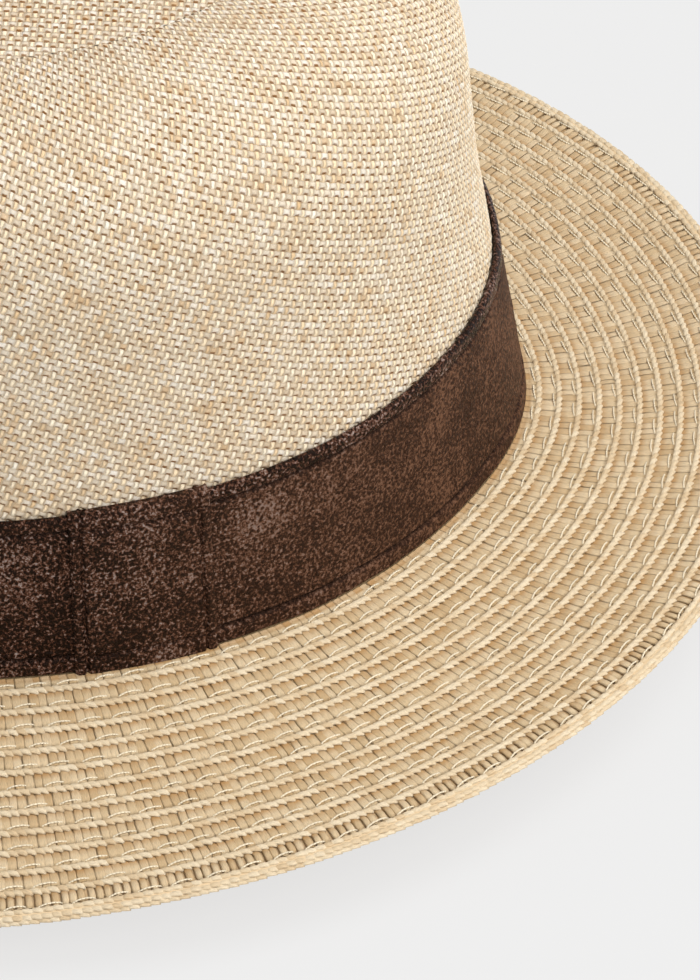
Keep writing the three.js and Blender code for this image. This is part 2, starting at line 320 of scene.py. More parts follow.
# ---- materials
class Paint:
    """A procedural material, built node by node around one Principled shader."""

    def __init__(self, name, **settings):
        self.material = bpy.data.materials.new(name)
        self.material.use_nodes = True
        self.nodes = self.material.node_tree.nodes
        self.links = self.material.node_tree.links
        self.shader = self.nodes["Principled BSDF"]
        for key, value in settings.items():
            self.shader.inputs[key.replace("_", " ")].default_value = value

    def add(self, kind, *values, **settings):
        """A node with its settings and its inputs in order; None leaves an input as it is."""
        node = self.nodes.new(kind)
        for key, value in settings.items():
            setattr(node, key, value)
        for socket, value in zip(node.inputs, values):
            self.put(socket, value)
        return node

    def put(self, socket, value):
        if isinstance(value, bpy.types.NodeSocket):
            self.links.new(value, socket)
        elif value is not None:
            socket.default_value = value

    def maths(self, operation, *values):
        return self.add("ShaderNodeMath", *values, operation=operation).outputs[0]

    def times(self, first, *factors):
        """The product of two or more values."""
        for factor in factors:
            first = self.maths("MULTIPLY", first, factor)
        return first

    def attribute(self, name, output):
        return self.add("ShaderNodeAttribute", attribute_name=name).outputs[output]

    def split(self, vector):
        return self.add("ShaderNodeSeparateXYZ", vector).outputs

    def join(self, x, y, z=0.0):
        return self.add("ShaderNodeCombineXYZ", x, y, z).outputs[0]

    def noise(self, vector, scale, detail=2.0, rough=0.5):
        node = self.add("ShaderNodeTexNoise")
        self.put(node.inputs["Vector"], vector)
        node.inputs["Scale"].default_value = scale
        node.inputs["Detail"].default_value = detail
        node.inputs["Roughness"].default_value = rough
        return node.outputs[0]

    def random(self, vector):
        return self.add("ShaderNodeTexWhiteNoise", vector, noise_dimensions="3D").outputs[0]

    def ramp(self, factor, *stops):
        """A colour ramp from (position, red, green, blue) or (position, grey) stops."""
        node = self.add("ShaderNodeValToRGB", factor)
        bands = node.color_ramp.elements
        while len(bands) < len(stops):
            bands.new(0.5)
        for band, (position, *colour) in zip(bands, stops):
            band.position = position
            band.color = (*colour, 1) if len(colour) == 3 else (*colour * 3, 1)
        return node.outputs[0]

    def mix(self, factor, a, b, blend="MIX"):
        node = self.nodes.new("ShaderNodeMix")
        node.data_type, node.blend_type = "RGBA", blend
        sockets = (node.inputs[0], node.inputs[6], node.inputs[7])  # the factor and two colours
        for socket, value in zip(sockets, (factor, a, b)):
            self.put(socket, (*value, 1) if isinstance(value, tuple) else value)
        return node.outputs[2]

    def tint(self, colour, factor):
        """A colour times another."""
        return self.mix(1.0, colour, factor, "MULTIPLY")

    def finish(self, colour, rough, height, distance, strength=1.0):
        """Sets colour, roughness and a bump whose distance is in metres."""
        self.put(self.shader.inputs["Base Color"], colour)
        self.put(self.shader.inputs["Roughness"], rough)
        bump = self.add("ShaderNodeBump")
        bump.inputs["Strength"].default_value = strength
        bump.inputs["Distance"].default_value = distance
        self.put(bump.inputs["Height"], height)
        self.put(self.shader.inputs["Normal"], bump.outputs[0])
        return self.material


WANDER = 0.22  # how far a yarn strays from its line, in yarns
YARN_HALF = {"warp": 0.30, "weft": 0.44}  # half a yarn's width, in yarns
WARP_TONES = ((0.3, 0.86, 0.63, 0.38), (0.5, 0.95, 0.77, 0.53), (0.65, 1.0, 0.88, 0.68))
WEFT_TONES = ((0.3, 0.62, 0.48, 0.33), (0.5, 0.71, 0.60, 0.46), (0.65, 0.79, 0.71, 0.60))
TAN_FLECK, PALE_FLECK = (0.60, 0.36, 0.15), (0.95, 0.90, 0.82)
# painted shade: the tint on the yarn below, the dark holes between yarns and the brown under each
# weft
YARN_BELOW_SHADE, GAP_SHADE, SLOT_SHADOW = (0.80, 0.74, 0.66), (0.30, 0.18, 0.09), (0.24, 0.10, 0.02)


def weave_material():
    """Plain weave: narrow pale warp over broad greyer weft, tan and pale flecks, and painted
    shade: the yarn below and the top yarn's edges darker, small dark gaps, and a brown shadow
    under each weft in its slot. The cloth's weave attribute counts its warps and wefts."""
    p = Paint("woven_paper", Specular_IOR_Level=0.35)
    flat = p.attribute("weave", "Vector")
    u, v, _ = p.split(flat)
    stray = p.maths("MULTIPLY_ADD", p.noise(flat, 0.8), 2 * WANDER, -WANDER)
    u = p.maths("ADD", u, stray)
    stray = p.maths("MULTIPLY_ADD", p.noise(p.join(v, u, 5.0), 0.8), 2 * WANDER, -WANDER)
    v = p.maths("ADD", v, stray)
    i, j = p.maths("ROUND", u), p.maths("ROUND", v)
    from_i, from_j = p.maths("SUBTRACT", u, i), p.maths("SUBTRACT", v, j)
    odd = p.maths("GREATER_THAN", p.maths("FLOORED_MODULO", p.maths("ADD", i, j), 2.0), 0.5)
    even = p.maths("SUBTRACT", 1.0, odd)

    def pick(for_odd, for_even):
        return p.maths("ADD", p.times(odd, for_odd), p.times(even, for_even))

    # the weft lies on top at an odd crossing and the warp at an even one
    across = p.maths("ABSOLUTE", pick(from_j, from_i))
    along = p.maths("ABSOLUTE", pick(from_i, from_j))
    top_half = pick(YARN_HALF["weft"], YARN_HALF["warp"])
    under_half = pick(YARN_HALF["warp"], YARN_HALF["weft"])
    across = p.maths("DIVIDE", across, top_half)
    over = p.maths("LESS_THAN", across, 1.0)
    beside = p.maths("SUBTRACT", 1.0, p.maths("POWER", across, 2.0))
    round_top = p.maths("SQRT", p.maths("MAXIMUM", 0.0, beside))
    crest = p.maths("COSINE", p.times(along, 2.6))
    height = p.times(round_top, p.maths("MULTIPLY_ADD", crest, 0.6, 0.4))
    under = p.maths("DIVIDE", along, under_half)
    hole = p.times(p.maths("GREATER_THAN", under, 0.95), p.maths("SUBTRACT", 1.0, over))

    # each yarn keeps its own tone, which drifts along it
    long_v, long_u = p.times(v, 0.13), p.times(u, 0.13)
    warp_tone = p.noise(p.join(p.times(i, 5.37), long_v, 0.0), 1.0, 2.0)
    weft_tone = p.noise(p.join(long_u, p.times(j, 5.37), 7.0), 1.0, 2.0)
    warp, weft = p.ramp(warp_tone, *WARP_TONES), p.ramp(weft_tone, *WEFT_TONES)
    top = p.mix(odd, warp, weft)
    below = p.mix(odd, weft, warp)
    crossing = p.random(p.join(i, j, 3.0))
    top = p.mix(p.times(p.maths("GREATER_THAN", crossing, 0.94), 0.5), top, TAN_FLECK)
    top = p.mix(p.times(p.maths("LESS_THAN", crossing, 0.1), 0.4), top, PALE_FLECK)
    # painted shade: the top yarn darker towards its edges, with a random tone at each crossing
    shade = p.maths("MULTIPLY_ADD", height, 0.35, 0.57)
    shade = p.maths("MULTIPLY_ADD", p.random(p.join(j, i, 6.0)), 0.14, shade)
    top = p.tint(top, p.ramp(shade, (0.0, 0.0), (1.0, 1.0)))
    # painted shade: the yarn below darker, and the holes between yarns dark
    colour = p.mix(over, p.tint(below, YARN_BELOW_SHADE), top)
    colour = p.mix(p.times(hole, 0.6), colour, GAP_SHADE)

    # painted shadow: brown under each weft's lower edge, strongest at its middle, of random depth
    # and in patches
    low_edge = p.ramp(p.maths("ADD", from_j, 0.5), (0.0, 1.0), (0.28, 1.0), (0.38, 0.0))
    middle = p.ramp(p.maths("ABSOLUTE", from_i), (0.0, 1.0), (0.3, 1.0), (0.44, 0.0))
    depth = p.ramp(p.random(p.join(i, j, 9.0)), (0.0, 0.6), (0.35, 0.9), (1.0, 1.0))
    patches = p.ramp(p.noise(p.join(u, v, 2.0), 0.09, 2.0), (0.35, 0.7), (0.6, 1.0))
    colour = p.mix(p.times(odd, low_edge, middle, depth, patches), colour, SLOT_SHADOW)
    fine = p.noise(p.join(u, v), 5.0, 4.0, 0.7)
    colour = p.tint(colour, p.ramp(fine, (0.3, 0.80), (0.5, 1.0), (0.7, 1.18)))
    height = p.maths("MULTIPLY_ADD", fine, 0.25, p.times(height, over))
    return p.finish(colour, p.maths("MULTIPLY_ADD", fine, 0.3, 0.6), height, 0.00035)


# brown at a strand's root: partly the straw's ochre, partly painted shade under its rib
ROOT_OCHRE_AND_SHADE = (0.42, 0.22, 0.07)


def straw_material(name, dark, middle, light, root):
    """Twisted paper straw, each strand with its own tone and with fibres along it. root is how
    brown the end under its own rib is, the straw's ochre and painted shade under the rib; the
    other end is then a little paler, a painted light."""
    p = Paint(name, Specular_IOR_Level=0.5)
    tone = p.attribute("tone", "Fac")
    lean, step, own = p.split(p.attribute("fibre", "Vector"))
    colour = p.ramp(tone, (0.0, *dark), (0.3, *middle), (1.0, *light))
    across = p.maths("MULTIPLY_ADD", lean, 4.4, p.times(own, 40.0))
    streak = p.noise(p.join(across, p.times(step, 1.6), own), 2.6, 4.0, 0.65)
    colour = p.tint(colour, p.ramp(streak, (0.3, 0.68), (0.5, 0.98), (0.7, 1.18)))
    if root:
        # painted shade and light: darker at the root under the rib, paler at the far end
        colour = p.tint(colour, p.ramp(step, (0.4, 0.93), (0.8, 1.09)))
    # the brown root: partly the straw's ochre, partly painted shade under the rib
    near_root = p.ramp(step, (0.0, 1.0), (0.40, 1.0), (0.62, 0.0))
    patch = p.ramp(p.random(p.join(own, tone, 1.0)), (0.0, 0.25), (1.0, 1.0))
    colour = p.mix(p.times(near_root, patch, root), colour, ROOT_OCHRE_AND_SHADE)
    return p.finish(colour, p.maths("MULTIPLY_ADD", streak, 0.3, 0.35), streak, 0.0002, 0.8)


# the last, grey stop is a painted glint
GLOSSY_TONES_AND_GLINTS = ((0.58, 0.003, 0.0006, 0.0002), (0.65, 0.030, 0.010, 0.005),
                (0.72, 0.14, 0.060, 0.035), (0.80, 0.28, 0.23, 0.21))
RUBBED_TONES = ((0.56, 0.024, 0.009, 0.0045), (0.64, 0.065, 0.028, 0.015),
                (0.75, 0.16, 0.078, 0.044))
# painted shade in a groove, with its dark stitching
GROOVE_SHADE_AND_STITCH = (0.003, 0.0008, 0.0004)


def leather_material():
    """Crackled faux leather: a near-black glossy finish worn to brown, with painted grey glints at
    its palest flecks, and rubbed duller towards the back. Its sizes are in metres. The hem
    attribute keeps a turned hem glossy, and the groove attribute darkens a groove with painted
    shade and its dark stitching."""
    p = Paint("crackled_leather", Specular_IOR_Level=0.15, Specular_Tint=(1.0, 0.7, 0.55, 1.0))
    place = p.add("ShaderNodeTexCoord").outputs["Object"]
    wander = p.add("ShaderNodeTexNoise", place, None, 900.0).outputs[1]
    reach = (0.0011, 0.0011, 0.0011)
    wander = p.add("ShaderNodeVectorMath", wander, reach, operation="MULTIPLY").outputs[0]
    bent = p.add("ShaderNodeVectorMath", place, wander, operation="ADD").outputs[0]
    cracks = p.add("ShaderNodeTexVoronoi", bent, feature="DISTANCE_TO_EDGE")
    cracks.inputs["Scale"].default_value = 950.0
    crack = cracks.outputs["Distance"]
    grain = p.noise(place, 1500.0, 4.0, 0.7)
    wear = p.noise(place, 60.0, 3.0, 0.6)
    worn = p.maths("MULTIPLY_ADD", wear, 0.35, grain)
    worn = p.maths("MULTIPLY_ADD", crack, -0.35, worn)
    flat = p.maths("SUBTRACT", 1.0, p.attribute("hem", "Fac"))
    back = p.times(p.ramp(p.split(place)[1], (0.03, 0.0), (0.09, 1.0)), flat)
    # the glossy tones end in painted grey glints
    glossy, rubbed = p.ramp(worn, *GLOSSY_TONES_AND_GLINTS), p.ramp(worn, *RUBBED_TONES)
    rough = p.ramp(worn, (0.50, 0.22), (0.75, 0.36))
    rough = p.maths("MULTIPLY_ADD", back, 0.3, rough)
    crease = p.maths("ABSOLUTE", p.maths("SUBTRACT", p.noise(bent, 240.0, 3.0, 0.6), 0.5))
    crease = p.maths("MINIMUM", p.times(crease, 14.0), 1.0)
    height = p.maths("MULTIPLY_ADD", crack, 1.3, p.times(crease, 0.5))
    height = p.maths("MULTIPLY_ADD", grain, -0.9, height)
    # painted shade and dark stitching in the grooves
    groove_shade_and_stitch = p.times(p.attribute("groove", "Fac"), 0.85)
    colour = p.mix(groove_shade_and_stitch, p.mix(back, glossy, rubbed), GROOVE_SHADE_AND_STITCH)
    return p.finish(colour, rough, height, 0.0003)


RIB_PITCH, PICK_PITCH = 0.9, 0.45  # of the twill, in millimetres


def ribbon_material(name, colour, shade, scale=1.0):
    """Twill ribbon: fine slanting ribs. Its skin attribute is the way round and up in mm."""
    p = Paint(name, Specular_IOR_Level=0.3)
    round_it, up, _ = p.split(p.attribute("skin", "Vector"))
    slant = p.times(p.maths("ADD", round_it, up), 2 * math.pi / (RIB_PITCH * scale))
    rib = p.maths("MULTIPLY_ADD", p.maths("SINE", slant), 0.5, 0.5)
    upright = p.times(round_it, 2 * math.pi / (PICK_PITCH * scale))
    pick = p.maths("MULTIPLY_ADD", p.maths("SINE", upright), 0.5, 0.5)
    cloud = p.noise(p.join(round_it, up), 0.12, 3.0)
    height = p.maths("ADD", rib, p.times(pick, 0.4))
    # painted shade between the ribs; the same darker colour also clouds the ribbon at random
    base = p.mix(p.times(rib, 0.8), shade, colour)
    base = p.mix(p.times(cloud, 0.5), base, shade)
    return p.finish(base, p.maths("MULTIPLY_ADD", rib, -0.15, 0.85), height, 0.00012)


def thread_material(name, colour):
    """Shiny twisted sewing thread."""
    p = Paint(name, Specular_IOR_Level=0.5)
    tone = p.attribute("tone", "Fac")
    lean, step, _ = p.split(p.attribute("fibre", "Vector"))
    twist = p.maths("SINE", p.maths("MULTIPLY_ADD", step, 60.0, p.times(lean, 2.0)))
    base = p.mix(p.times(tone, 0.5), colour, tuple(c * 0.75 for c in colour))
    return p.finish(base, p.maths("MULTIPLY_ADD", twist, 0.08, 0.45), twist, 0.00006)


def plastic_material():
    """Slightly cloudy plastic, for the edge wire and the reed."""
    p = Paint("clear_plastic", Specular_IOR_Level=0.5)
    cloud = p.noise(p.add("ShaderNodeTexCoord").outputs["Object"], 300.0, 3.0)
    base = p.ramp(cloud, (0.3, 0.60, 0.55, 0.45), (0.7, 0.70, 0.65, 0.54))
    return p.finish(base, p.maths("MULTIPLY_ADD", cloud, 0.2, 0.3), cloud, 0.00005)


# ---- crown
CLOTH = 1.0  # thickness under the yarns
WARPS_ROUND, WEFTS_ROUND = 406, 190  # yarns crossed in going once round the wall, both even
WARPS_UP, WEFTS_UP = -0.34, 0.655  # and in going up it by a millimetre
TOP_YARNS = 0.78  # yarns a millimetre on the flat top
LINING_YARNS = 0.7  # and up the cloth's inner face
YARN_HEIGHT = {"warp": 0.16, "weft": 0.10, "gap": -0.17, "slot": -0.26}
CLOTH_MARGIN = 0.9  # the grid of yarns runs this far past the wall's two edges


def crossing_relief(i, j):
    """Height of the cloth's face at half-yarn steps: crossings stand up, and the gaps and the
    slot under each weft sink."""
    on_warp, on_weft = i % 2 == 0, j % 2 == 0
    warp_over = ((i + j) // 2) % 2 == 0
    below_weft = on_warp & ~on_weft & (((i + j + 1) // 2) % 2 == 1)
    crossing = np.where(warp_over, YARN_HEIGHT["warp"], YARN_HEIGHT["weft"])
    between = np.where(below_weft, YARN_HEIGHT["slot"], 0.0)
    between = np.where(~on_warp & ~on_weft, YARN_HEIGHT["gap"], between)
    return np.where(on_warp & on_weft, crossing, between)


def crown_normal(turn, down):
    """Which way the crown's outside faces."""
    step = 0.002
    ahead = crown(turn + step, down) - crown(turn - step, down)
    run = np.where(down > 0, 0.4, 0.01)
    above, below = np.maximum(down - run, -0.999), np.minimum(down + run, SIDE_LENGTH)
    normal = np.cross(ahead, crown(turn, above) - crown(turn, below))
    return normal / (np.linalg.norm(normal, axis=-1)[..., None] + 1e-12)


def wall_cloth():
    """The outer face of the crown's side on a grid of half yarns, which climb round the hat: the
    half from the wearer's left over the back to the right, and then the half in front. A corner
    has its own yarn numbers, as those of a point differ by one lap on the seam's two sides."""
    spin = WARPS_ROUND * WEFTS_UP - WARPS_UP * WEFTS_ROUND
    reach_i = int(2 * (WARPS_ROUND - WARPS_UP * SIDE_LENGTH)) + 8
    reach_j = int(2 * (WEFTS_ROUND + WEFTS_UP * SIDE_LENGTH)) + 8
    i, j = np.meshgrid(np.arange(-reach_i, reach_i), np.arange(-reach_j, reach_j), indexing="ij")

    def place(i, j):
        """The share of the way round, and the way up, of a half-yarn step."""
        share = (WEFTS_UP * i - WARPS_UP * j) / 2 / spin
        return share, (WARPS_ROUND * j - WEFTS_ROUND * i) / 2 / spin

    share, up = place(i, j)
    used = (share >= 0) & (share < 1) & (up > -CLOTH_MARGIN) & (up < SIDE_LENGTH + CLOTH_MARGIN)
    index = np.full(i.shape, -1)
    index[used] = np.arange(used.sum())
    i, j, share, up = i[used], j[used], share[used], up[used]
    corners, yarns = [], []
    for add_i, add_j in ((0, 0), (1, 0), (1, 1), (0, 1)):
        at_i, at_j = i + add_i, j + add_j
        lap = np.floor(place(at_i, at_j)[0] + 1e-12).astype(int)
        first_i, first_j = at_i - 2 * WARPS_ROUND * lap, at_j - 2 * WEFTS_ROUND * lap
        corners.append(index[first_i + reach_i, first_j + reach_j])
        yarns.append(np.stack([at_i, at_j, 0 * at_i], -1) / 2)
    quads, weave = np.stack(corners, -1), np.stack(yarns, 1)
    height = up[quads]
    keep = (quads >= 0).all(1) & (height > 0).any(1) & (height < SIDE_LENGTH).any(1)
    in_back_half = share < 0.5
    middle = crown(FINE_TURNS, np.full_like(FINE_TURNS, SIDE_LENGTH / 2))
    run = np.concatenate([[0], np.cumsum(np.linalg.norm(np.diff(middle, axis=0), axis=1))])
    turn = np.interp(share * run[-1], run, FINE_TURNS)
    down = SIDE_LENGTH - np.clip(up, 0, SIDE_LENGTH)
    points = crown(turn, down) + crown_normal(turn, down) * crossing_relief(i, j)[:, None]
    for half in (in_back_half, ~in_back_half):
        chosen = quads[keep & half]
        kept = np.unique(chosen)
        renumber = np.zeros(len(points), int)
        renumber[kept] = np.arange(len(kept))
        yield points[kept], renumber[chosen], weave[keep & half].reshape(-1, 3)


def top_cloth():
    """The outer face of the flat top on a straight grid of half yarns."""
    reach = int(2 * TOP_YARNS * TOP_HALF_LENGTH) + 4
    steps = np.arange(-reach, reach + 1)
    i, j = np.meshgrid(steps, steps, indexing="ij")
    x, y = -j / 2 / TOP_YARNS, i / 2 / TOP_YARNS
    x, y = (np.where(at == 0, 1e-4, at) for at in (x, y))  # the middle has no normal
    x, y = x / TOP_HALF_WIDTH, y / TOP_HALF_LENGTH
    share = np.hypot(x, y)
    turn, down = np.arctan2(y, x), np.minimum(share, 1) - 1
    quads = grid_quads(*i.shape)
    quads = quads[(share < 1).ravel()[quads].any(1)]
    normal = crown_normal(turn, np.maximum(down, -0.99))
    points = crown(turn, down) + normal * crossing_relief(i, j)[..., None]
    keep = np.unique(quads)
    index = np.zeros(i.size, int)
    index[keep] = np.arange(len(keep))
    weave = np.stack([i, j, 0 * i], -1).reshape(-1, 3)[keep] / 2
    return points.reshape(-1, 3)[keep], index[quads], weave


def lining_cloth():
    """The cloth's inner face, with the foot's edge out to its outer face."""
    steps = 480
    on_side, on_top = np.linspace(SIDE_LENGTH, 0, 100), np.linspace(-0.03, -0.995, 34)
    down = np.concatenate([[SIDE_LENGTH], on_side, on_top])
    depth = np.full(down.size, CLOTH)
    depth[0] = 0.0
    turn, down = np.broadcast_arrays(turns(steps)[:, None], down[None])
    points = crown(turn, down) - crown_normal(turn, down) * depth[None, :, None]
    quads = grid_quads(*down.shape, wrap_rows=True)[:, ::-1]
    round_it, up = turn / (2 * np.pi) * WARPS_ROUND, (SIDE_LENGTH - down) * LINING_YARNS
    return points, quads, np.stack([round_it, up, 0 * up], -1).reshape(-1, 3)


def make_crown():
    cloth = weave_material()
    names = ("crown_side_cloth_back", "crown_side_cloth_front", "crown_top_cloth",
             "crown_cloth_inside")
    for name, (points, quads, weave) in zip(names, (*wall_cloth(), top_cloth(), lining_cloth())):
        made = piece(name, points, quads, cloth, {"weave": weave})
        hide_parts("crown_shell")


# ---- brim
# Paths of strands are (along the row, out from the row's line, up), in millimetres.
STRAND_PITCH = 1.6
# A slanted strand from under one rib out to the next row's rib, and its shape in the open row
LADDER = [(-0.35, -0.5, -0.3), (-0.2, 0.1, -0.08), (0.0, 0.7, -0.02), (0.1, 1.5, 0.08),
          (0.15, 2.3, 0.2), (0.2, 3.0, 0.32), (0.2, 3.75, 0.36)]
LADDER_WIDE = [0.56, 0.62, 0.82, 0.98, 1.02, 1.0, 0.96]
LADDER_THICK = [0.2, 0.2, 0.16, 0.12, 0.1, 0.1, 0.1]
LAST_LADDER = [(-0.5, -0.75, -0.5), (-0.3, 0.0, -0.25), (0.0, 0.8, -0.04), (0.1, 1.7, 0.02),
               (0.1, 2.6, 0.0), (0.1, 3.4, -0.18)]
LAST_WIDE, LAST_THICK = [0.5, 0.6, 0.68, 0.72, 0.72, 0.6], 0.32
UNDER_LADDER = [(0.2, -0.6, 0.3), (0.1, 0.3, 0.0), (-0.1, 1.8, -0.05), (-0.25, 3.2, 0.1),
                (-0.3, 3.9, 0.35)]
UNDER_WIDE, UNDER_THICK, UNDER_LIFT = 0.78, 0.26, -0.75
# One bead of a plaited rib, and of the edge's cords
RIB_BEAD = [(-1.45, -0.3, 0.0), (-0.7, -0.16, 0.28), (0.1, 0.02, 0.38), (0.8, 0.3, 0.3),
            (1.3, 0.66, 0.0)]
EDGE_BEAD = [(-1.45, -0.2, -0.12), (-0.7, -0.1, 0.16), (0.1, 0.0, 0.24), (0.85, 0.12, 0.16),
             (1.4, 0.24, -0.12)]
BEAD_WIDE = [0.34, 0.54, 0.64, 0.58, 0.3]
BEAD_THICK = [0.26, 0.36, 0.4, 0.36, 0.22]
STITCH = [(-2.3, 0.45, -0.25), (-1.7, 0.16, 0.18), (-0.6, -0.14, 0.34), (0.8, -0.26, 0.32),
          (1.9, -0.2, 0.12), (2.4, -0.12, -0.3)]
STITCH_PITCH, STITCH_RADIUS = 6.2, 0.18
STITCH_INSIDE = 1.0  # how far inside its rib a line of stitches runs
STITCH_LIFT = {"edge": 0.0, "top": 0.26, "under": -1.0}
EDGE_LINE = 48.7  # where the outermost line of stitches runs

LADDER_TONES = ((0.52, 0.36, 0.19), (0.58, 0.43, 0.25), (0.65, 0.505, 0.32))
# painted light: the ribs' straw is paler than the ladder's, for the light on the raised ribs
RIB_TONES_LIT = ((0.65, 0.48, 0.285), (0.72, 0.565, 0.365), (0.79, 0.655, 0.46))
# painted shade: the braid's body under the strands is darker than they are
BASE_TONES_SHADE = ((0.46, 0.31, 0.16), (0.50, 0.35, 0.19), (0.54, 0.38, 0.21))
THREAD_TONE = (0.86, 0.745, 0.55)


def rib_line(row):
    """How far out a row's rib lies. Row 0 is the outermost."""
    return BRIM_WIDTH - OUTER_RIB - row * PITCH


def lifted(lift):
    """The brim's surface, raised by this much."""
    return lambda turn, distance, up: brim(turn, distance, up + lift)


def turned_over(path):
    """A path upside down, for the brim's underside."""
    return [(along, out, -up) for along, out, up in path]


def stands_for(node):
    """Hides the CAD node that a piece of the braid replaces."""
    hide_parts(node)


def make_brim():
    ladder_straw = straw_material("straw_ladder", *LADDER_TONES, 0.9)
    rib_straw_lit = straw_material("straw_rib_painted_light", *RIB_TONES_LIT, 0.0)
    base_straw_shaded = straw_material("straw_base_painted_shade", *BASE_TONES_SHADE, 0.0)
    pale = thread_material("brim_thread", THREAD_TONE)
    ladder = tube(LADDER, LADDER_WIDE, LADDER_THICK)
    open_ladder = tube(LAST_LADDER, LAST_WIDE, LAST_THICK)
    rib_bead = tube(RIB_BEAD, BEAD_WIDE, BEAD_THICK)
    under_ladder = tube(UNDER_LADDER, UNDER_WIDE, UNDER_THICK)
    underside = lifted(UNDER_LIFT)
    for row in range(ROWS):
        shape, jitter = (ladder, 0.06) if row else (open_ladder, 0.1)
        for name, surface, strand, straw, scatter in (
            ("ladder", brim, shape, ladder_straw, jitter),
            ("rib", brim, rib_bead, rib_straw_lit, 0.04),
            ("under", underside, under_ladder, ladder_straw, 0.06),
        ):
            made = repeat_along(f"braid_{name}_{row + 1:02d}", surface, rib_line(row), strand,
                                STRAND_PITCH, straw, phase=rng.random(), jitter=scatter, sink=0.03)
            stands_for("brim_braid")
    # the innermost strands come out from under the crown
    short_ladder = tube(LADDER[3:], LADDER_WIDE[3:], LADDER_THICK[3:])
    made = repeat_along(f"braid_ladder_{ROWS + 1}", brim, rib_line(ROWS), short_ladder,
                        STRAND_PITCH, ladder_straw, jitter=0.06, sink=0.03)
    stands_for("brim_braid")
    make_braid_base(base_straw_shaded)
    make_edge(rib_straw_lit)
    top_stitch = tube(STITCH, STITCH_RADIUS, STITCH_RADIUS)
    under_stitch = tube(turned_over(STITCH), STITCH_RADIUS, STITCH_RADIUS)
    for row in range(ROWS + 1):
        line = rib_line(row - 1) - STITCH_INSIDE if row else EDGE_LINE
        shift = rng.random()
        top_lift = STITCH_LIFT["top" if row else "edge"]
        for side, shape, lift, phase in (
            ("top", top_stitch, top_lift, shift),
            ("under", under_stitch, STITCH_LIFT["under"], shift + 0.5),
        ):
            made = repeat_along(f"stitches_{side}_{row:02d}", lifted(lift), line, shape,
                                STITCH_PITCH, pale, phase=phase, jitter=0.05, sink=0.02)


# The braid's body seen in section: points of (out, lift), from the edge in
BASE_EDGE = (48.85, -0.5)
BASE_OPEN_ROW = ((2.2, -0.25), (0.8, -0.25), (0.2, -0.1), (-0.5, -0.3))  # out from the rib
BASE_ROW = ((3.6, 0.3), (2.4, 0.16), (1.3, 0.02), (0.4, -0.12))  # out from the rib
BASE_FOOT = ((1.0, -0.15), (0.0, -0.5), (-2.6, -0.5))
BASE_UNDERSIDE = -0.8
COLLAR = {"outer": -3.05, "inner": -4.35, "start": 0.2, "top": 9.0, "low": -1.2, "steps": 6}
# The folded edge: the oval section of its core, and each cord's distance and lift
EDGE_CORE = {"middle": 50.15, "lift": -0.55, "reach": 1.25, "rise": 0.62}
EDGE_CORDS = {"upper_inner": (49.5, -0.12), "upper_outer": (50.75, -0.32), "outer": (51.35, -0.75),
              "lower_inner": (49.5, -1.2), "lower_outer": (50.75, -1.1)}
CORD_PITCH = 1.8


def plain_straw(name, points, quads, straw, tone, fibre):
    """A piece of straw with one tone all over, for what lies under the strands."""
    count = points.shape[0] * points.shape[1]
    attributes = {"tone": np.full(count, tone), "fibre": np.tile(fibre, (count, 1))}
    return piece(name, points, quads, straw, attributes)


def make_braid_base(straw):
    """The body of the braid under its strands, with the collar that turns up inside the crown."""
    top = [BASE_EDGE]
    for row in range(ROWS):
        top += [(rib_line(row) + out, lift) for out, lift in (BASE_ROW if row else BASE_OPEN_ROW)]
    out, lift = np.array([*top, *BASE_FOOT]).T[:, None]
    turn = turns(720)[:, None]
    offset = np.ones((1, COLLAR["steps"]))
    rise = np.linspace(COLLAR["start"], COLLAR["top"], COLLAR["steps"])[None]
    fall = np.linspace(COLLAR["top"], COLLAR["low"], COLLAR["steps"])[None]
    points = np.concatenate([
        brim(turn, out, lift),
        wall(turn, COLLAR["outer"] * offset, rise),
        wall(turn, COLLAR["inner"] * offset, fall),
        brim(turn, out[:, ::-1], BASE_UNDERSIDE + 0 * lift),
    ], axis=1)
    quads = grid_quads(*points.shape[:2], wrap_rows=True, wrap_columns=True)
    made = plain_straw("braid_base", points, quads, straw, 0.12, [0.3, 0.2, 0.5])
    stands_for("brim_braid")


def make_edge(straw):
    """The folded last row: three plaited cords above and two below, over a core."""
    bead = tube(EDGE_BEAD, BEAD_WIDE, BEAD_THICK)
    back = tube([(along, -out, up) for along, out, up in EDGE_BEAD], BEAD_WIDE, BEAD_THICK)
    angle = turns(12)[None]
    core = brim(turns(600)[:, None], EDGE_CORE["middle"] + EDGE_CORE["reach"] * np.cos(angle),
                EDGE_CORE["lift"] + EDGE_CORE["rise"] * np.sin(angle))
    quads = grid_quads(*core.shape[:2], wrap_rows=True, wrap_columns=True)[:, ::-1]
    made = plain_straw("edge_core", core, quads, straw, 0.1, [0.3, 0.6, 0.5])
    stands_for("brim_edge_fold")
    for name, (distance, lift) in EDGE_CORDS.items():
        shape = back if name.startswith("lower") else bead
        made = repeat_along(f"edge_cord_{name}", lifted(lift), distance, shape, CORD_PITCH, straw,
                            phase=rng.random(), jitter=0.05)
        stands_for("brim_edge_fold")


# ---- band and keeper
BAND = {"low": 0.1, "high": 35.6, "back": -1.1, "inset": 0.3}
BAND_STEPS = {"along": 760, "edge": 6, "middle": 104, "back": 4}
ROLL = {"depth": 0.75, "width": 0.9}  # of the band's rounded edges
HEM = {"low": 4.0, "high": 3.2, "rise": 0.18, "flat": 3.2, "fall": 0.8}
HEM_GLOSS = (3.6, 3.0)  # below the top edge: the hem's gloss begins, and is full
HEM_GROOVE = {"depth": 0.75, "width": 0.34}
KEEPER_STEPS = {"across": 161, "along": 150}
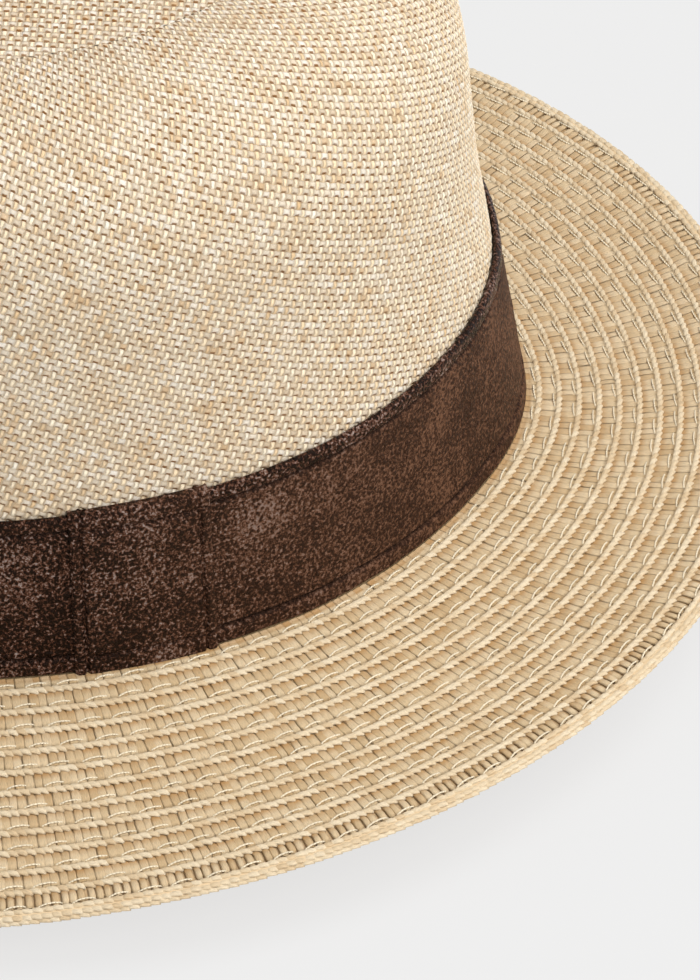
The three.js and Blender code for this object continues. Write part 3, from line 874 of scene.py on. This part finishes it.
# The keeper's face along its middle, as (offset, height), wrapped over the band's two edges
KEEPER_FACE = [(-1.1, -0.2), (-0.2, -0.35), (0.5, -0.2), (0.8, 0.4), (0.85, 4.0), (0.8, 18.0),
               (0.85, 32.0), (0.8, 35.4), (0.5, 36.0), (-0.2, 36.15), (-1.3, 36.05)]
KEEPER_ROLL = {"depth": 0.55, "width": 0.7}
KEEPER_SEAM = {"in": 2.1, "depth": 0.6, "width": 0.28}  # the groove along each long edge
KEEPER_PRESS = {"heights": (4.1, 32.4), "depth": 0.45, "width": 0.4}  # over the band's grooves
KEEPER_THICK, KEEPER_BACK = 0.4, 0.4  # the leather's thickness, and the offset of its back
KEEPER_MIDDLE, KEEPER_REACH, KEEPER_TUCK = 18.0, 18.3, 0.5  # heights, for tucking the back in
KEEPER_RADIUS = 99  # of the wall where the keeper is


def dip(distance, groove):
    """The relief of a groove, this far from its middle."""
    return -groove["depth"] * np.exp(-(distance / groove["width"]) ** 2)


def rolled(distance, roll):
    """The relief of a rounded edge, this far in from it."""
    return -roll["depth"] * np.clip(1 - distance / roll["width"], 0, 1) ** 2


def hem_relief(height):
    """How far the band's face stands proud for its hems, and the grooves where they end."""
    low, high = BAND["low"], BAND["high"]
    edge = np.minimum(height - low, high - height)
    hem = HEM["rise"] * np.clip(1 - (edge - HEM["flat"]) / HEM["fall"], 0, 1)
    grooves = sum(dip(height - at, HEM_GROOVE) for at in (low + HEM["low"], high - HEM["high"]))
    return rolled(edge, ROLL) + hem, grooves


def wrinkle(turn, height, size, seed):
    """Slow random relief in millimetres, the same on every run."""
    along, up = np.broadcast_arrays(turn * HALF_LENGTH / size, height / size)
    values = [noise.noise(Vector((a, b, seed))) for a, b in zip(along.ravel(), up.ravel())]
    return np.array(values).reshape(along.shape)


def make_band():
    leather = leather_material()
    low, high = BAND["low"], BAND["high"]
    spans = (
        (low, low + 1.2, "edge"), (low + 1.5, high - 1.5, "middle"), (high - 1.2, high, "edge"),
    )
    height = np.concatenate([np.linspace(a, b, BAND_STEPS[part]) for a, b, part in spans])[None]
    ends = high - BAND["inset"], low + BAND["inset"]
    inner_height = np.linspace(*ends, BAND_STEPS["back"])[None]
    middle = math.radians(KEEPER["middle"])
    ends = middle + STRIP_GAP, middle + 2 * np.pi - STRIP_GAP
    turn = np.linspace(*ends, BAND_STEPS["along"])[:, None]
    relief, grooves = hem_relief(height)
    face = relief + grooves
    face = face + 0.16 * wrinkle(turn, height, 14, 1.0) + 0.1 * wrinkle(turn, height, 2.2, 5.0)
    outline = [wall(turn, face, height + 0 * turn),
               wall(turn, BAND["back"] + 0 * turn, inner_height + 0 * turn)]
    hem = smoothstep(np.append(height, inner_height), high - HEM_GLOSS[0], high - HEM_GLOSS[1])
    # the groove attribute carries painted shade and stitching into the hem grooves
    groove = np.append(-grooves / HEM_GROOVE["depth"], 0 * inner_height)
    made = strip("hat_band_leather", np.concatenate(outline, axis=1), leather,
                 {"hem": np.tile(hem, len(turn)), "groove": np.tile(groove, len(turn))})
    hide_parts("hat_band")
    make_keeper(leather)


def make_keeper(leather):
    """A strip of the same leather wrapped over the band's two ends, its own long edges turned in
    and stitched down."""
    middle, half = math.radians(KEEPER["middle"]), math.radians(KEEPER["half"])
    share = np.linspace(-1, 1, KEEPER_STEPS["across"])[:, None]
    turn = middle + half * share
    away = (1 - np.abs(share)) * half * KEEPER_RADIUS
    corners = np.array(KEEPER_FACE)
    run = np.concatenate([[0], np.cumsum(np.linalg.norm(np.diff(corners, axis=0), axis=1))])
    at = np.linspace(0, run[-1], KEEPER_STEPS["along"])
    offset, height = (np.interp(at, run, side)[None] for side in corners.T)
    groove = dip(away - KEEPER_SEAM["in"], KEEPER_SEAM)
    groove = groove + sum(dip(height - press, KEEPER_PRESS) for press in KEEPER_PRESS["heights"])
    face = rolled(away, KEEPER_ROLL) + groove
    face = face + 0.1 * wrinkle(turn, height, 9, 9.0) + 0.05 * wrinkle(turn, height, 2.0, 3.0)
    outer = wall(turn, offset + face, height + 0 * turn)
    inward = np.clip((height - KEEPER_MIDDLE) / KEEPER_REACH, -1, 1)
    behind = np.minimum(offset - KEEPER_THICK, KEEPER_BACK)
    inner = wall(turn, behind + 0 * turn, height - KEEPER_TUCK * inward ** 9 + 0 * turn)
    # the groove attribute carries painted shade and stitching into the keeper's grooves
    depth = (groove / groove.min()).ravel()
    made = shell("keeper_leather", outer, inner, leather,
                 {"groove": np.concatenate([depth, 0 * depth])})
    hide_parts("band_keeper")


# ---- inside
# Offsets from the oval of the head, and lowest and highest heights
SWEATBAND = {"outer": -5.4, "inner": -6.15, "low": -0.9, "high": 32.0, "steps": 24}
TAPE = {"outer": -4.7, "inner": -5.1, "low": 0.0, "high": 11.0, "steps": 8}
LABEL = {"outer": -6.45, "inner": -6.75, "low": 8.0, "high": 22.0, "steps": 20}
LABEL_HALF = math.radians(7)
RIBBON_RADIUS = 97  # turns the ribbon's way round into millimetres
RIBBON_TONE, RIBBON_SHADE = (0.62, 0.50, 0.34), (0.42, 0.32, 0.20)
LABEL_TONE, LABEL_SHADE = (0.80, 0.77, 0.70), (0.66, 0.62, 0.55)
RIBBON_STITCH = [(-1.3, 0.0, 0.0), (-1.0, 0.0, 0.16), (0.0, 0.0, 0.2), (1.0, 0.0, 0.16),
                 (1.3, 0.0, 0.0)]
RIBBON_STITCH_PITCH = 3.4
RIBBON_STITCH_HEIGHTS = {"low": 1.2, "high": 30.6}


def ribbon_shell(name, surface, turn, layer, material):
    """A ribbon between two offsets from the wall."""
    height = np.linspace(layer["low"], layer["high"], layer["steps"])[None] + 0 * turn
    outer, inner = (surface(turn, layer[face] + 0 * height, height) for face in ("outer", "inner"))
    skin = np.stack([turn * RIBBON_RADIUS + 0 * height, height, 0 * height], -1).reshape(-1, 3)
    return shell(name, outer, inner, material, {"skin": np.tile(skin, (2, 1))})


def on_sweatband(turn, height, proud):
    """A point this far proud of the sweatband's face."""
    return level(turn, SWEATBAND["inner"] - proud, height)


def make_inside():
    ribbon = ribbon_material("sweatband_twill", RIBBON_TONE, RIBBON_SHADE)
    ends = BACK_SEAM + STRIP_GAP, BACK_SEAM + 2 * np.pi - STRIP_GAP
    turn = np.linspace(*ends, 720)[:, None]
    band = ribbon_shell("sweatband_ribbon", level, turn, SWEATBAND, ribbon)
    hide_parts("sweatband")
    tape = ribbon_shell("seam_tape_ribbon", wall, turn, TAPE, ribbon)
    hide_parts("seam_tape")
    label_cloth = ribbon_material("label_satin", LABEL_TONE, LABEL_SHADE, 0.5)
    label_turn = np.linspace(BACK_SEAM - LABEL_HALF, BACK_SEAM + LABEL_HALF, 40)[:, None]
    label = ribbon_shell("label_tab", level, label_turn, LABEL, label_cloth)
    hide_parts("size_label")
    thread = thread_material("sweatband_thread", (0.74, 0.66, 0.52))
    stitch = tube(RIBBON_STITCH, 0.17, 0.15)
    for name, height in RIBBON_STITCH_HEIGHTS.items():
        made = repeat_along(f"sweatband_stitches_{name}", on_sweatband, height, stitch,
                            RIBBON_STITCH_PITCH, thread, jitter=0.03, sink=0.0)
    plastic = plastic_material()
    for node in ("brim_edge_wire", "sweatband_reed"):
        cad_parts[node].data.materials.clear()
        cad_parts[node].data.materials.append(plastic)


# ---- floor, light and camera
# Places in metres from here on; a light is (place, size, power, tint)
LIGHTS = {
    "key": ((1.1, 1.15, 1.45), 1.1, 25, (1.0, 0.985, 0.96)),
    "top": ((-0.15, 1.0, 1.9), 1.3, 28, (1.0, 1.0, 1.0)),
    "fill": ((1.5, -1.3, 0.6), 0.36, 3.0, (0.90, 0.95, 1.0)),
}
LIT_POINT = (0, 0, 0.05)
WORLD_STRENGTH = 0.47
FLOOR_SIZE, FLOOR_GAP = 14, 0.0008
FLOOR = {"Base Color": (0.12, 0.12, 0.12, 1), "Roughness": 0.9, "Specular IOR Level": 0.0,
         "Emission Color": (1, 1, 1, 1), "Emission Strength": 0.7}
CAMERA_AZIMUTH, CAMERA_ELEVATION = math.radians(92.27), math.radians(40.82)
CAMERA_TARGET, CAMERA_DISTANCE = (0.03103, 0.07633, 0), 1.2736
LENS, SENSOR = 247.4, 36


def add_facing(thing, direction):
    """Adds a light or camera that looks this way."""
    thing.rotation_euler = direction.to_track_quat("-Z", "Y").to_euler()
    bpy.context.scene.collection.objects.link(thing)


def make_stage():
    bpy.ops.mesh.primitive_plane_add(size=FLOOR_SIZE, location=(0, 0, cad_box[0].z - FLOOR_GAP))
    floor = bpy.context.object
    floor.name = "floor"
    p = Paint("pale_floor")
    for socket, value in FLOOR.items():
        p.shader.inputs[socket].default_value = value
    floor.data.materials.append(p.material)
    world = bpy.data.worlds.new("studio")
    world.use_nodes = True
    background = world.node_tree.nodes["Background"].inputs
    background[0].default_value = (1, 1, 1, 1)
    background[1].default_value = WORLD_STRENGTH
    bpy.context.scene.world = world
    for name, (place, size, power, tint) in LIGHTS.items():
        data = bpy.data.lights.new(name, "AREA")
        data.size, data.energy, data.color = size, power, tint
        lamp = bpy.data.objects.new(name, data)
        lamp.location = place
        add_facing(lamp, Vector(LIT_POINT) - Vector(place))
    bpy.context.scene.view_settings.view_transform = "Standard"


def make_camera():
    flat = math.cos(CAMERA_ELEVATION)
    back = Vector((math.sin(CAMERA_AZIMUTH) * flat, -math.cos(CAMERA_AZIMUTH) * flat,
                   math.sin(CAMERA_ELEVATION)))
    data = bpy.data.cameras.new("camera")
    data.lens, data.sensor_width = LENS, SENSOR
    data.clip_start, data.clip_end = 0.05, 60
    camera = bpy.data.objects.new("camera", data)
    camera.location = Vector(CAMERA_TARGET) + back * CAMERA_DISTANCE
    add_facing(camera, -back)
    bpy.context.scene.camera = camera


make_camera()
make_stage()
make_crown()
make_brim()
make_band()
make_inside()
